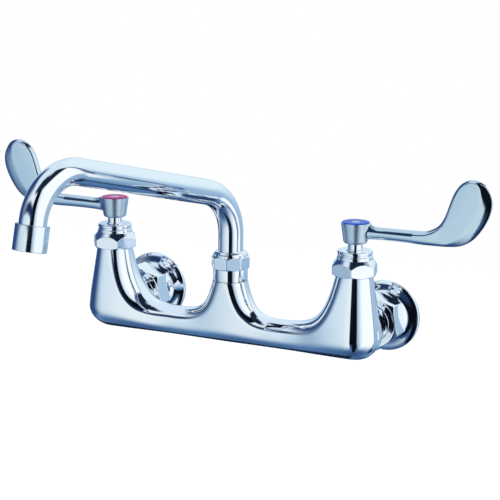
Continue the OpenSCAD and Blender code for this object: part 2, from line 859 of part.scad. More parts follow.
// Octagonal nut with a domed shoulder round the tube
module spout_nut() {
    floor_z = tube_z + free_gap;
    hole_r = tube_r + run_gap;
    half_af = spout_nut_af / 2;
    color(chrome)
        spout_place()
            difference() {
                union() {
                    rotate([0, 0, spout_nut_turn])
                        intersection() {
                            translate([0, 0, ring_top])
                                cylinder(r = spout_nut_r, h = spout_nut_h, $fn = 8);
                            rotate_extrude()
                                polygon([
                                    [0, ring_top], [half_af - 0.3, ring_top],
                                    [spout_nut_r + 0.1, ring_top + 1.2],
                                    [spout_nut_r + 0.1, nut_top - 1.4], [half_af - 0.1, nut_top],
                                    [0, nut_top]
                                ]);
                        }
                    rotate_extrude()
                        polygon(concat(
                            [[0, nut_top - 1], [half_af - 0.6, nut_top - 1]],
                            [
                                for (i = [0 : 8])
                                    let (a = 90 * i / 8)
                                        [
                                            tube_r + 0.5 + (half_af - 1.1 - tube_r) * cos(a),
                                            nut_top + shoulder_h * sin(a)
                                        ]
                            ],
                            [[0, nut_top + shoulder_h]]
                        ));
                }
                disc(spout_thread_r + fit_gap, ring_top - 1, floor_z);
                disc(hole_r, ring_top, nut_top + shoulder_h + 1);
            }
}

module thrust_washer() {
    color(ceramic)
        spout_place() tube(collar_r, spigot_hole_r + fit_gap, adapter_top, adapter_top + thrust_t);
}

// Brass spigot: collar under the nut, two seal grooves, nose brazed into the tube
module spout_spigot() {
    nose_len = 8;
    low = collar_z - spigot_len;
    color(brass)
        spout_place()
            difference() {
                union() {
                    disc(spigot_r, low, collar_z + 1);
                    disc(collar_r, collar_z, tube_z);
                    disc(tube_r - tube_wall - run_gap, collar_z, tube_z + nose_len);
                }
                disc(spigot_bore_r, low - 1, tube_z + nose_len + 1);
                for (k = [1, 2])
                    tube(
                        spigot_r + 1, seal_groove_r,
                        low + k * seal_pitch - seal_groove_h / 2,
                        low + k * seal_pitch + seal_groove_h / 2
                    );
            }
}

module spout_seals() {
    low = collar_z - spigot_len;
    color(rubber)
        spout_place()
            for (k = [1, 2])
                o_ring(seal_groove_r + run_gap, spigot_hole_r - 0.02, low + k * seal_pitch);
}

// Bent stretch of the tube, in the plane y = 0 round its centre, from one angle to another
module tube_bend(centre, bend, from, turn) {
    translate([centre[0], 0, centre[1]])
        rotate([90, 0, 0])
            rotate([0, 0, from])
                rotate_extrude(angle = turn)
                    translate([bend, 0])
                        difference() {
                            circle(r = tube_r - bend_thinning, $fn = 64);
                            circle(r = tube_r - tube_wall + bend_thinning, $fn = 64);
                        }
}

// Straight stretches run a little way into the bends, whose walls are slightly thinner
module spout_tube() {
    bore = tube_r - tube_wall;
    color(chrome) {
        spout_swing() {
            tube(tube_r, bore, tube_z, stem_top + bend_lap);
            tube_bend([bend_1, stem_top], bend_1, 180 - turn_1, turn_1);
            translate([arm_start[0], 0, arm_start[1]])
                rotate([0, 90 - arm_rise, 0])
                    tube(tube_r, bore, -bend_lap, arm_len + bend_lap);
            tube_bend(bend_2_centre, bend_2, outlet_lean, turn_2);
        }
        outlet() tube(tube_r, bore, -outlet_straight - bend_lap, socket_depth);
    }
}

module outlet_sleeve() {
    color(chrome)
        outlet()
            difference() {
                rotate_extrude()
                    polygon([
                        [0, 0], [sleeve_r - 0.5, 0], [sleeve_r, 0.5], [sleeve_r, sleeve_len - 0.6],
                        [sleeve_r - 0.6, sleeve_len], [0, sleeve_len]
                    ]);
                disc(tube_r + run_gap, -1, socket_depth);
                disc(mouth_r, socket_depth, sleeve_len + 1);
                disc(tube_r - tube_wall, 0, sleeve_len);
            }
}

// Flow straightener: a plate of small jets in a ring
module flow_insert() {
    top = socket_depth + outlet_washer_t;
    rim = 1.2;
    plate = 3;
    color(steel)
        outlet()
            difference() {
                disc(mouth_r - fit_gap, top, top + insert_len);
                disc(mouth_r - rim - fit_gap, top - 1, top + insert_len - plate);
                for (i = [-3 : 3], j = [-3 : 3])
                    let (x = jet_pitch * (i + j / 2), y = jet_pitch * j * sin(60))
                        if (norm([x, y]) < mouth_r - rim - jet_r - 0.4)
                            translate([x, y, top]) cylinder(r = jet_r, h = insert_len + 1, $fn = 16);
            }
}

module outlet_washer() {
    color(rubber)
        outlet() tube(mouth_r - fit_gap, tube_r - tube_wall, socket_depth, socket_depth + outlet_washer_t);
}

body_casting();
hot_bonnet();
cold_bonnet();
hot_cartridge();
cold_cartridge();
hot_seat_disc();
cold_seat_disc();
hot_seat_seal();
cold_seat_seal();
hot_bonnet_washer();
cold_bonnet_washer();
outlet_adapter();
spout_nut();
thrust_washer();
hot_coupling_nut();
cold_coupling_nut();
hot_snap_ring();
cold_snap_ring();
hot_inlet_washer();
cold_inlet_washer();
hot_inlet_shank();
cold_inlet_shank();
hot_wall_flange();
cold_wall_flange();
hot_blade_handle();
cold_blade_handle();
hot_index_ring();
cold_index_ring();
hot_index_cap();
cold_index_cap();
hot_handle_screw();
cold_handle_screw();
hot_stem();
cold_stem();
hot_turning_disc();
cold_turning_disc();
hot_stem_seal();
cold_stem_seal();
spout_tube();
spout_spigot();
spout_seals();
outlet_sleeve();
flow_insert();
outlet_washer();
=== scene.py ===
"""Looks of the wall faucet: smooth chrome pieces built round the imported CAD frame.

Sizes are in millimetres, as in the CAD source, and become metres when a mesh is made.
"""
import json
import math

import bmesh
import bpy
import numpy as np
from mathutils import Matrix, Vector


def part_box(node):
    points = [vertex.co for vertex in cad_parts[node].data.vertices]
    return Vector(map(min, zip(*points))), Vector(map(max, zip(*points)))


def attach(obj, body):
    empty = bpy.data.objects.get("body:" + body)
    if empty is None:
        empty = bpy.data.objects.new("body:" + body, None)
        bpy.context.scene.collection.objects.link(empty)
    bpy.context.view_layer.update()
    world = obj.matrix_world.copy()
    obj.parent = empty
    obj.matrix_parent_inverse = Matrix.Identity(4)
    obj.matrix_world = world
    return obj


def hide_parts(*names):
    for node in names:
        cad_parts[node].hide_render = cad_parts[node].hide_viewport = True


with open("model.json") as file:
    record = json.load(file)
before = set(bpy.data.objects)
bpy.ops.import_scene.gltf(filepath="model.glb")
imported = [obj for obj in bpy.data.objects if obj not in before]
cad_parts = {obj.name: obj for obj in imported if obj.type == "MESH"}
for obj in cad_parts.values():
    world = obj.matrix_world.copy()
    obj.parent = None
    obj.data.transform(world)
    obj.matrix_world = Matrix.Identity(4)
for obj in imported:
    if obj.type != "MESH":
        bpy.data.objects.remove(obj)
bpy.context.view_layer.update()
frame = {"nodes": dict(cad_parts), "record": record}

MM = 0.001


def low_high(node):
    """The lowest and highest corners of a CAD node, in mm."""
    low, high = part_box(node)
    return np.array(low) / MM, np.array(high) / MM


# Camera, fitted to the outlines of the photograph
AZIMUTH = math.radians(26.367)
ELEVATION = math.radians(12.027)
ROLL = math.radians(0.744)
TARGET = Vector((13.408, -60.0, 52.624)) * MM
DISTANCE = 1255.25 * MM
LENS = 119.77
SENSOR_WIDTH = 36
# In metres
FAR_LIMIT = 20


def make_camera():
    toward = Vector((
        math.sin(AZIMUTH) * math.cos(ELEVATION),
        -math.cos(AZIMUTH) * math.cos(ELEVATION),
        math.sin(ELEVATION),
    ))
    level = Vector((math.cos(AZIMUTH), math.sin(AZIMUTH), 0))
    upward = toward.cross(level)
    right = level * math.cos(ROLL) + upward * math.sin(ROLL)
    up = -level * math.sin(ROLL) + upward * math.cos(ROLL)
    data = bpy.data.cameras.new("camera")
    data.lens = LENS
    data.sensor_width = SENSOR_WIDTH
    data.clip_end = FAR_LIMIT
    camera = bpy.data.objects.new("camera", data)
    bpy.context.scene.collection.objects.link(camera)
    place = Matrix((right, up, toward)).transposed().to_4x4()
    place.translation = TARGET + toward * DISTANCE
    camera.matrix_world = place
    bpy.context.scene.camera = camera


make_camera()

# Sizes read from the frame
bonnet_low, bonnet_high = low_high("hot_bonnet")
stem_low, stem_high = low_high("hot_stem")
nut_low, nut_high = low_high("spout_nut")
centres = -(bonnet_low[0] + bonnet_high[0])
axis_out = -(stem_low[1] + stem_high[1]) / 2
tower_top = bonnet_low[2]
bonnet_top = bonnet_high[2]
nut_foot = nut_low[2]
nut_top = nut_high[2]
hub_z = low_high("cold_blade_handle")[0][2]
flange_depth = -low_high("cold_wall_flange")[0][1]

# Sizes of the CAD source that the frame's boxes don't give
TOWER_TOP_R = 13.8
FOOT_R = 20.6
FOOT_Z = -1.0
FOOT_DROP = 17.8
BAR_R = 10.9
BAR_Z = -7.9
BAR_TOP = BAR_Z + BAR_R
OUTLET_TOP = 29.6
OUTLET_TOP_R = 13.5
ARM_R = 14.0
ARM_END = 16.0
NUT_FRONT = 26.0
STEM_R = 5.4
TUBE_R = 9.45
RING_R = 13.2
RING_BORE_R = 8


# Mesh helpers

LATHE_SEGMENTS = 160
NUT_SEGMENTS = 360
TUBE_SEGMENTS = 128
# Edges that turn by more than this many degrees are drawn sharp
LATHE_CREASE = 50
NUT_CREASE = 40
TUBE_CREASE = 60
HANDLE_CREASE = 32
FILLET_STEPS = 4


def mesh_piece(name, verts, faces, normals=None):
    """A smooth-shaded mesh object from points in mm."""
    data = bpy.data.meshes.new(name)
    points = (np.asarray(verts, float) * MM).tolist()
    data.from_pydata(points, [], [list(map(int, f)) for f in faces])
    data.validate()
    data.shade_smooth()
    if normals is not None:
        data.normals_split_custom_set_from_vertices(normals.tolist())
    piece = bpy.data.objects.new(name, data)
    bpy.context.scene.collection.objects.link(piece)
    return piece


def finish_solid(piece, crease):
    """Merges the points on the axis, turns the faces outward and marks the sharp edges."""
    work = bmesh.new()
    work.from_mesh(piece.data)
    bmesh.ops.remove_doubles(work, verts=work.verts, dist=1e-7)
    bmesh.ops.dissolve_degenerate(work, edges=work.edges, dist=1e-8)
    bmesh.ops.recalc_face_normals(work, faces=work.faces)
    work.to_mesh(piece.data)
    work.free()
    piece.data.shade_smooth()
    piece.data.set_sharp_from_angle(angle=math.radians(crease))
    return piece


def ring_faces(rows, columns):
    """Quads over a grid of rings that wraps round both ways."""
    faces = []
    for i in range(rows):
        k = (i + 1) % rows
        for j in range(columns):
            m = (j + 1) % columns
            faces.append((i * columns + j, i * columns + m, k * columns + m, k * columns + j))
    return faces


def round_corners(outline, radius, steps=FILLET_STEPS):
    """The same outline of (r, z) with its inner corners filleted."""
    out = [outline[0]]
    for a, b, c in zip(outline[:-2], outline[1:-1], outline[2:]):
        p, q, s = np.array(a), np.array(b), np.array(c)
        u, v = p - q, s - q
        reach = min(radius, 0.45 * np.linalg.norm(u), 0.45 * np.linalg.norm(v))
        if reach < 1e-4:
            out.append(tuple(q))
            continue
        start = q + u / np.linalg.norm(u) * reach
        end = q + v / np.linalg.norm(v) * reach
        for k in range(steps + 1):
            t = k / steps
            out.append(tuple((1 - t) ** 2 * start + 2 * t * (1 - t) * q + t * t * end))
    out.append(outline[-1])
    return out


def curve_through(points, steps):
    """Points along a smooth curve through the given ones."""
    p = [np.array(q, float) for q in points]
    out = []
    for i in range(len(p) - 1):
        a, b, c, d = p[max(i - 1, 0)], p[i], p[i + 1], p[min(i + 2, len(p) - 1)]
        for k in range(steps):
            t = k / steps
            out.append((2 * b + (c - a) * t + (2 * a - 5 * b + 4 * c - d) * t * t
                        + (3 * b - 3 * c + d - a) * t ** 3) / 2)
    out.append(p[-1])
    return np.array(out)


def dense(outline, gap=0.25):
    """The same outline with points at most gap apart."""
    out = [outline[0]]
    for a, b in zip(outline[:-1], outline[1:]):
        n = max(1, int(math.ceil(math.hypot(b[0] - a[0], b[1] - a[1]) / gap)))
        for k in range(1, n + 1):
            out.append((a[0] + (b[0] - a[0]) * k / n, a[1] + (b[1] - a[1]) * k / n))
    return out


def lathe(name, outline, place, radius):
    """Turns a closed outline of (r, z) round the Z axis and moves the points with place."""
    points = round_corners(list(outline) + [outline[0], outline[1]], radius)[1:]
    section = [points[0]]
    for p in points[1:]:
        if math.hypot(p[0] - section[-1][0], p[1] - section[-1][1]) > 1e-5:
            section.append(p)
    if math.hypot(section[0][0] - section[-1][0], section[0][1] - section[-1][1]) < 1e-5:
        section.pop()
    angle = 2 * math.pi * np.arange(LATHE_SEGMENTS) / LATHE_SEGMENTS
    verts = []
    for r, z in section:
        verts += [(r * math.cos(a), r * math.sin(a), z) for a in angle]
    faces = ring_faces(len(section), LATHE_SEGMENTS)
    return finish_solid(mesh_piece(name, place(np.array(verts)), faces), LATHE_CREASE)


def side_x(side):
    return (-1 if side == "hot" else 1) * centres / 2


def upright(x, y):
    return lambda p: p + np.array([x, y, 0])


def over_valve(side):
    return upright(side_x(side), -axis_out)


def from_wall(x):
    """Local Z points from the wall to the user."""
    return lambda p: np.stack([p[:, 0] + x, -p[:, 2], p[:, 1]], 1)


# Smooth solids as the zero level of a function of position

GRADIENT_STEP = 0.05
PULLS = 4
CORNERS = [(i, j, k) for k in (0, 1) for j in (0, 1) for i in (0, 1)]


def smooth_min(a, b, k):
    h = np.clip(0.5 + 0.5 * (b - a) / k, 0, 1)
    return b + (a - b) * h - k * h * (1 - h)


def smooth_max(a, b, k):
    return -smooth_min(-a, -b, k)


def smoothstep(x, start, end):
    t = np.clip((x - start) / (end - start), 0, 1)
    return t * t * (3 - 2 * t)


def swell(d, reach):
    """1 at no distance, easing to 0 at reach."""
    return 0.5 + 0.5 * np.cos(math.pi * np.clip(d / reach, 0, 1))


def gradient(field, p):
    out = np.empty_like(p)
    for axis in range(3):
        d = np.zeros(3)
        d[axis] = GRADIENT_STEP
        out[:, axis] = (field(p + d) - field(p - d)) / (2 * GRADIENT_STEP)
    return out


def level_mesh(field, low, high, cell):
    """Points, quads and normals of the surface where field is zero.

    Each grid cell that the surface crosses gives one point: the mean of the crossings on its
    edges, pulled on to the surface.
    """
    axes = [np.arange(low[i], high[i] + cell, cell) for i in range(3)]
    grid = np.stack(np.meshgrid(*axes, indexing="ij"), -1)
    value = field(grid.reshape(-1, 3)).reshape(grid.shape[:3])
    inside = value < 0
    count = np.zeros(tuple(n - 1 for n in inside.shape), int)
    for i, j, k in CORNERS:
        count += inside[i:i + count.shape[0], j:j + count.shape[1], k:k + count.shape[2]]
    crossed = (count > 0) & (count < 8)
    index = -np.ones(count.shape, int)
    index[crossed] = np.arange(crossed.sum())

    cells = np.argwhere(crossed)
    total, hits = np.zeros((len(cells), 3)), np.zeros((len(cells), 1))
    for a in CORNERS:
        for axis in range(3):
            if a[axis]:
                continue
            b = tuple(c + (i == axis) for i, c in enumerate(a))
            ca, cb = cells + np.array(a), cells + np.array(b)
            va, vb = value[tuple(ca.T)], value[tuple(cb.T)]
            cut_here = (va < 0) != (vb < 0)
            t = np.where(cut_here, va / np.where(cut_here, va - vb, 1), 0)[:, None]
            point = np.array(low) + cell * (ca + t * (cb - ca))
            total += np.where(cut_here[:, None], point, 0)
            hits += cut_here[:, None]
    points = total / hits
    for _ in range(PULLS):
        slope = gradient(field, points)
        steep = np.maximum((slope ** 2).sum(1), 1e-6)[:, None]
        step = field(points)[:, None] * slope / steep
        points -= np.clip(step, -cell / 2, cell / 2)

    faces = []
    for axis in range(3):
        u, v = (axis + 1) % 3, (axis + 2) % 3
        shape = inside.shape
        a = inside[tuple(slice(0, n - (i == axis)) for i, n in enumerate(shape))]
        b = inside[tuple(slice(i == axis, n) for i, n in enumerate(shape))]
        for flip, edges in ((False, np.argwhere(a & ~b)), (True, np.argwhere(~a & b))):
            ok = (edges[:, u] > 0) & (edges[:, v] > 0)
            ok &= (edges[:, u] < shape[u] - 1) & (edges[:, v] < shape[v] - 1)
            edges = edges[ok]
            quad = []
            for du, dv in ((1, 1), (0, 1), (0, 0), (1, 0)):
                at = edges.copy()
                at[:, u] -= du
                at[:, v] -= dv
                quad.append(index[tuple(at.T)])
            quad = np.stack(quad, 1)
            faces.append(quad[:, ::-1] if flip else quad)
    slope = gradient(field, points)
    normals = slope / np.linalg.norm(slope, axis=1)[:, None]
    return points, np.concatenate(faces), normals


# Body casting: one block with round edges, whose top follows the curves between the towers

# Lengths over which those curves rise to the towers
VALVE_FLARE = 9.0
OUTLET_FLARE = 6.0
# Distances over which a tower's width and depth fade into the bar's
VALVE_REACH = 55.0
OUTLET_REACH = 36.0
FOOT_REACH = 45.0
OUTLET_DROP = 2
# The valve towers taper to their feet with this rounding, and end inside the bonnets
TAPER_SOFT = 2.0
TOWER_OVER = 1.5
MOST_RISE = 1.2
# Inlet arms: wider by ARM_FLARE where they meet the towers
ARM_FLARE = 4.6
ARM_FLARE_FROM = NUT_FRONT + 6
ARM_FLARE_TO = axis_out - 5
ARM_SHORT = 2
ARM_BLEND = 5.0
# Where the search for the nearest point of a curve starts, and how it goes on
VALLEY_STARTS = np.linspace(OUTLET_TOP_R - 9, centres / 2 - TOWER_TOP_R + 10, 60)
VALLEY_STEPS = 6
VALLEY_STRIDE = 1.5
CASTING_CELL = 1.0


def valley(x):
    """Height above the bar of the curve between two towers, its slope and its bend."""
    a = (OUTLET_TOP - BAR_TOP) * np.exp((OUTLET_TOP_R - x) / OUTLET_FLARE)
    b = (tower_top - BAR_TOP) * np.exp((TOWER_TOP_R - centres / 2 + x) / VALVE_FLARE)
    slope = b / VALVE_FLARE - a / OUTLET_FLARE
    return a + b, slope, a / OUTLET_FLARE ** 2 + b / VALVE_FLARE ** 2


def below_valley(x, z):
    """Distance below that curve, negative above it, and the nearest point's place along x."""
    height = z - BAR_TOP
    nearest, best = np.zeros(len(x)), np.full(len(x), 1e9)
    for s in VALLEY_STARTS:
        far = (s - x) ** 2 + (valley(s)[0] - height) ** 2
        closer = far < best
        nearest, best = np.where(closer, s, nearest), np.where(closer, far, best)
    for _ in range(VALLEY_STEPS):
        h, slope, bend = valley(nearest)
        turn = 1 + slope ** 2
        off = nearest - x + (h - height) * slope
        step = off / np.maximum(turn + (h - height) * bend, 0.5 * turn)
        nearest = nearest - np.clip(step, -VALLEY_STRIDE, VALLEY_STRIDE)
    gap = np.hypot(nearest - x, valley(nearest)[0] - height)
    return np.where(height < valley(x)[0], gap, -gap), nearest


def block_field(p):
    """The towers and the bar; every half width is an ellipse's, so that all edges are round."""
    x, v, z = np.abs(p[:, 0]), np.abs(p[:, 1] + axis_out), p[:, 2]
    u = centres / 2 - x
    taper = (FOOT_R - TOWER_TOP_R) / (tower_top - FOOT_Z)
    valve_r = smooth_min(TOWER_TOP_R + taper * (tower_top - z), FOOT_R, TAPER_SOFT)
    half = (BAR_R + (valve_r - BAR_R) * swell(u, VALVE_REACH)
            + (OUTLET_TOP_R - BAR_R) * swell(x, OUTLET_REACH))
    top, foot = below_valley(x, z)
    by_outlet = foot < centres / 4
    full_rise = np.where(by_outlet, OUTLET_TOP - BAR_TOP, tower_top - BAR_TOP)
    rise = np.clip(valley(foot)[0] / full_rise, 0, MOST_RISE)
    edge = BAR_R + (np.where(by_outlet, OUTLET_TOP_R, TOWER_TOP_R) - BAR_R) * rise
    low = (BAR_R + (FOOT_DROP - BAR_R) * swell(u, FOOT_REACH)
           + OUTLET_DROP * swell(x, OUTLET_REACH))
    inner = np.maximum(1 - top / edge, 0)
    under = np.maximum(1 - (z - BAR_Z + BAR_R) / low, 0)
    outer = np.maximum(-u, 0) / valve_r
    block = (np.sqrt((v / half) ** 2 + inner ** 2 + under ** 2 + outer ** 2) - 1) * half
    return np.maximum(block, z - np.where(x < centres / 4, OUTLET_TOP, tower_top + TOWER_OVER))


def arm_field(p):
    out = np.hypot(np.abs(p[:, 0]) - centres / 2, p[:, 2])
    d = -p[:, 1]
    r = ARM_R + ARM_FLARE * smoothstep(d, ARM_FLARE_FROM, ARM_FLARE_TO)
    return np.maximum(np.maximum(out - r, ARM_END - d), d - axis_out + ARM_SHORT)


def casting_field(p):
    return smooth_min(block_field(p), arm_field(p), ARM_BLEND)


def body_casting():
    reach = centres / 2 + FOOT_R + 2
    low = (-reach, -axis_out - FOOT_R - 2, BAR_Z - BAR_R - 2.5)
    high = (reach, -ARM_END + 2, tower_top + 3)
    points, faces, normals = level_mesh(casting_field, low, high, CASTING_CELL)
    return mesh_piece("casting", points, faces, normals)


# Nuts: a turned outline whose radius is limited by flats with slightly rounded corners

CORNER_SOFT = 0.35
FLAT_SOFT = 0.3
# Gap between a nut and what it turns on
SLIT = 0.05


def flats_radius(angle, sides, across, turn):
    """Radius of a polygon with softened corners, by angle."""
    step = 2 * math.pi / sides
    limit = None
    for k in range(sides):
        # A flat that faces away sets no limit
        facing = np.cos(angle - turn - (k + 0.5) * step)
        reach = np.where(facing > 0.2, across / 2 / np.maximum(facing, 1e-3), 1e3)
        limit = reach if limit is None else smooth_min(limit, reach, CORNER_SOFT)
    return limit


def nut(name, flat_part, round_part, place, sides, across, turn):
    """A nut from two lists of (r, z); the flat part keeps within the flats."""
    angle = 2 * math.pi * np.arange(NUT_SEGMENTS) / NUT_SEGMENTS
    limit = flats_radius(angle, sides, across, math.radians(turn))
    outline = flat_part + round_part
    verts = []
    for i, (r, z) in enumerate(outline):
        radius = np.full(NUT_SEGMENTS, r)
        if i < len(flat_part):
            radius = smooth_min(radius, limit, FLAT_SOFT)
        height = np.full(NUT_SEGMENTS, z)
        verts.append(np.stack([radius * np.cos(angle), radius * np.sin(angle), height], 1))
    faces = ring_faces(len(outline), NUT_SEGMENTS)
    return finish_solid(mesh_piece(name, place(np.concatenate(verts)), faces), NUT_CREASE)


# Bonnet: a hexagon with a crown, a round stage with a groove, and a collar round the stem
BONNET_AF = 31.0
BONNET_TURN = {"hot": 7.5, "cold": 44.0}
BONNET_BEVEL = 2.0
STAGE_UP = 12.6
CROWN_H = 6.0
STAGE_R = 13.0
STAGE_TAPER = 0.3
STAGE_LIP = 0.9
STAGE_BEVEL = 1.1
GROOVE_DEPTH = 0.5
GROOVE_HALF = 0.6
GROOVE_MOUTH = 1.0
COLLAR_H = 0.9
COLLAR_W = 0.9
COLLAR_BEVEL = 0.15


def bonnet(side):
    stage_z = tower_top + STAGE_UP
    top = bonnet_top - COLLAR_H
    groove = (stage_z + top) / 2
    corner = BONNET_AF / 2 / math.cos(math.pi / 6) + 0.2
    foot_r, floor_r, mouth_r = STAGE_R + STAGE_TAPER, STAGE_R - GROOVE_DEPTH, STAGE_R + 0.05
    crown = round_corners([
        (BONNET_AF / 2 - 0.4, tower_top), (corner, tower_top + BONNET_BEVEL),
        (corner, stage_z - CROWN_H), (foot_r, stage_z)], 0.6, 5)
    stage = round_corners([
        (foot_r, stage_z), (foot_r, stage_z + STAGE_LIP), (mouth_r, groove - GROOVE_MOUTH),
        (floor_r, groove - GROOVE_HALF), (floor_r, groove + GROOVE_HALF),
        (mouth_r, groove + GROOVE_MOUTH), (STAGE_R, top - STAGE_BEVEL),
        (STAGE_R - STAGE_TAPER, top), (STEM_R + 2.2, top)], 0.7, 5)
    collar = [
        (STEM_R + COLLAR_W + 0.05, top + 0.05), (STEM_R + COLLAR_W, top + COLLAR_H - COLLAR_BEVEL),
        (STEM_R + 0.7, top + COLLAR_H), (STEM_R + SLIT, top + COLLAR_H),
        (STEM_R + SLIT, tower_top + 3), (STEM_R + SLIT, tower_top)]
    return nut(side + "_cap_nut", dense(crown), dense(stage)[1:] + dense(collar, 0.5),
               over_valve(side), 6, BONNET_AF, BONNET_TURN[side])


# Spout nut: an octagon under a round shoulder
SPOUT_NUT_AF = 27.4
SPOUT_NUT_TURN = 14.4
OCTAGON_H = 9.8
SHOULDER_H = 3.8


def spout_nut():
    top = nut_foot + OCTAGON_H
    flat_r, corner = SPOUT_NUT_AF / 2, SPOUT_NUT_AF / 2 / math.cos(math.pi / 8) + 0.15
    side = round_corners([
        (flat_r - 0.4, nut_foot), (corner, nut_foot + 1.2), (corner, top - 1.4),
        (flat_r - 0.2, top)], 0.6, 5)
    shoulder = [
        (TUBE_R + 0.5 + (flat_r - 1.1 - TUBE_R) * math.cos(a), top + SHOULDER_H * math.sin(a))
        for a in np.radians(np.arange(0, 91, 6))
    ]
    inner = [
        (TUBE_R + SLIT, nut_top - 0.2), (TUBE_R + SLIT, nut_foot + 3), (TUBE_R + SLIT, nut_foot)]
    return nut("octagon_nut", dense(side), dense(shoulder) + inner, upright(0, -axis_out),
               8, SPOUT_NUT_AF, SPOUT_NUT_TURN)


# Coupling nut: a hexagon bevelled at both ends, with a wall that closes in on the arm
UNION_AF = 38.0
UNION_TURN = 40.0
UNION_BACK = 11.0
UNION_FRONT = NUT_FRONT + 4
UNION_BEVEL_IN = 3.3
UNION_BEVEL_ALONG = 2.2
UNION_WALL = 3.3
UNION_ROOM = 2.5


def coupling_nut(side):
    back, front = UNION_BACK, UNION_FRONT
    hex_r = UNION_AF / 2 / math.cos(math.pi / 6)
    corner, end_r = hex_r + 0.2, hex_r - UNION_BEVEL_IN
    edge = round_corners([
        (ARM_R + UNION_ROOM, back), (end_r, back), (corner, back + UNION_BEVEL_ALONG),
        (corner, front - UNION_BEVEL_ALONG), (end_r, front), (ARM_R + 0.5, front)], 0.8, 5)
    inner = [
        (ARM_R + 0.12, front - 0.4), (ARM_R + 0.12, front - UNION_WALL),
        (ARM_R + UNION_ROOM, front - UNION_WALL)]
    return nut(side + "_union_nut", dense(edge), inner, from_wall(side_x(side)),
               6, UNION_AF, UNION_TURN)


# Wall flange: a shallow cone of sheet that turns up to its hole
FLANGE_R = 27.4
FLANGE_WALL = 1.4
FLANGE_RIM = 2.5
FLANGE_HOLE = 16.3 + 0.1
FLANGE_CONE = [
    (FLANGE_R - 0.9, 3.0), (24.6, 4.0), (21.8, 5.1), (19.4, 6.4), (17.6, 8.4),
    (FLANGE_HOLE, flange_depth)]


def wall_flange(side):
    cone = curve_through(FLANGE_CONE, 5)
    rim = [(FLANGE_R, 0), (FLANGE_R, FLANGE_RIM)]
    outside = round_corners(rim + [tuple(p) for p in cone], 0.5, 3)
    under = [(max(r - 0.5, FLANGE_HOLE), z - FLANGE_WALL) for r, z in cone[::-1]]
    inside = under + [(FLANGE_R - FLANGE_WALL, 0)]
    return lathe(side + "_escutcheon", dense(outside, 1.0) + dense(inside, 1.5),
                 from_wall(side_x(side)), radius=0)


# Spout: a tube swept along its centre line, in its own upright plane

SWING = math.radians(12.8)
TUBE_START = 8.0
STEM_TOP = 64.85
BEND_1 = 36.5
RISE = math.radians(13.1)
ARM_LEN = 135.5
BEND_2 = 35.1
LEAN = math.radians(11.0)
OUTLET_STRAIGHT = 2.7
OUTLET_PLUG = 6
TUBE_WALL = 1.0
SLEEVE_R = 11.65
SLEEVE_BORE_R = 10.3
SLEEVE_LEN = 17.6
# Points along each part of the centre line
BEND_1_POINTS = 40
ARM_POINTS = 28
BEND_2_POINTS = 50


def spout_plane(p):
    """From (outward, sideways, up) to the row's axes."""
    s, c = math.sin(SWING), math.cos(SWING)
    return np.stack([-s * p[:, 0] + c * p[:, 1], -axis_out - c * p[:, 0] - s * p[:, 1], p[:, 2]], 1)


def centre_line():
    """Points and unit directions of the tube's centre line, from the nut to the outlet."""
    up = (0.0, 1.0)
    points, along = [(0.0, nut_foot + TUBE_START), (0.0, STEM_TOP)], [up, up]
    for a in np.linspace(math.pi, math.pi / 2 + RISE, BEND_1_POINTS)[1:]:
        points.append((BEND_1 + BEND_1 * math.cos(a), STEM_TOP + BEND_1 * math.sin(a)))
        along.append((math.sin(a), -math.cos(a)))
    x, z = points[-1]
    for d in np.linspace(0, ARM_LEN, ARM_POINTS)[1:]:
        points.append((x + d * math.cos(RISE), z + d * math.sin(RISE)))
        along.append((math.cos(RISE), math.sin(RISE)))
    x, z = points[-1]
    cx, cz = x + BEND_2 * math.sin(RISE), z - BEND_2 * math.cos(RISE)
    for a in np.linspace(math.pi / 2 + RISE, LEAN, BEND_2_POINTS)[1:]:
        points.append((cx + BEND_2 * math.cos(a), cz + BEND_2 * math.sin(a)))
        along.append((math.sin(a), -math.cos(a)))
    x, z = points[-1]
    down = (math.sin(LEAN), -math.cos(LEAN))
    for d in (OUTLET_STRAIGHT, OUTLET_STRAIGHT + OUTLET_PLUG):
        points.append((x + d * down[0], z + d * down[1]))
        along.append(down)
    return points, along


def spout_tube():
    points, along = centre_line()
    angle = 2 * math.pi * np.arange(TUBE_SEGMENTS) / TUBE_SEGMENTS
    rings = []
    for r, order in ((TUBE_R, 1), (TUBE_R - TUBE_WALL, -1)):
        for (x, z), (dx, dz) in list(zip(points, along))[::order]:
            # A circle sideways, and in the plane at right angles to the centre line
            rings.append(np.stack([
                x - dz * r * np.sin(angle), r * np.cos(angle), z + dx * r * np.sin(angle)], 1))
    piece = mesh_piece("bent_tube", spout_plane(np.concatenate(rings)),
                       ring_faces(len(rings), TUBE_SEGMENTS))
    return finish_solid(piece, TUBE_CREASE)


def outlet_place(p):
    """Local Z points out of the mouth, from the top of the sleeve."""
    points, _ = centre_line()
    x, z = points[-2]
    s, c = math.sin(LEAN), math.cos(LEAN)
    return spout_plane(np.stack([
        x + c * p[:, 0] + s * p[:, 2], p[:, 1], z + s * p[:, 0] - c * p[:, 2]], 1))


def outlet_sleeve():
    outline = [
        (TUBE_R + SLIT, 0), (SLEEVE_R, 0), (SLEEVE_R, SLEEVE_LEN), (SLEEVE_BORE_R, SLEEVE_LEN),
        (SLEEVE_BORE_R, OUTLET_PLUG), (TUBE_R + SLIT, OUTLET_PLUG)]
    return lathe("mouth_sleeve", outline, outlet_place, radius=0.5)


# Blade handle, drawn for the cold side; the hot side is its mirror image

